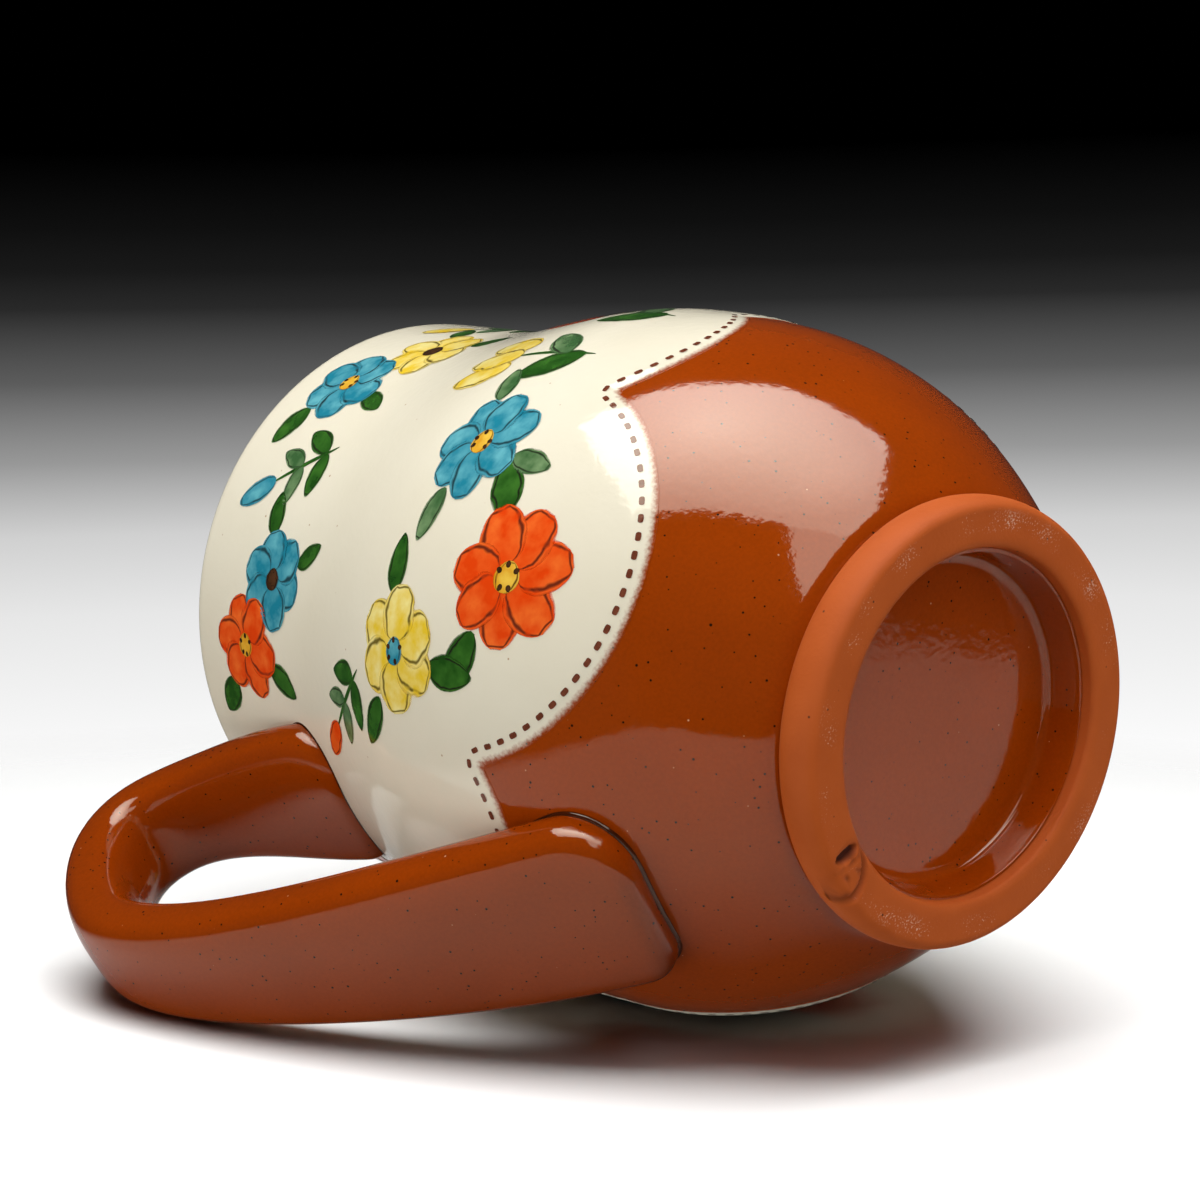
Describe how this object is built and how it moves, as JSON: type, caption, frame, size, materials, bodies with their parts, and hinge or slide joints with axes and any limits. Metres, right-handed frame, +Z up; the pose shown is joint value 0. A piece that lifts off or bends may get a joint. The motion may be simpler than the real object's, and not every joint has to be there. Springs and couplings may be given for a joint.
{
  "type": "mug",
  "caption": "Round-bellied earthenware mug with a straight neck, a broad strap handle luted on at both roots, a raised foot ring and a pale slip coat with a lobed hem.",
  "frame": {"origin": "on the mug's axis, in the plane of the foot ring's flat land, which is the surface that it stands on", "axes": "+Z up along the axis of the body, -X towards the handle, Y across the handle's strap"},
  "size_m": [0.1344, 0.0992, 0.12],
  "materials": {
    "honey_glaze": "clear honey glaze over red clay, glossy, with fine dark specks",
    "bare_clay": "unglazed red earthenware, matt",
    "luting_slip": "fired luting slip under pooled glaze, dark and glossy",
    "cream_slip": "cream slip under clear glaze, painted with small flowers"
  },
  "bodies": {
    "root": {"body": "honey_glaze", "foot_ring": "bare_clay", "handle": "honey_glaze", "lower_handle_bed": "luting_slip", "upper_handle_bed": "luting_slip", "slip_coat": "cream_slip"}
  },
  "joints": []
}
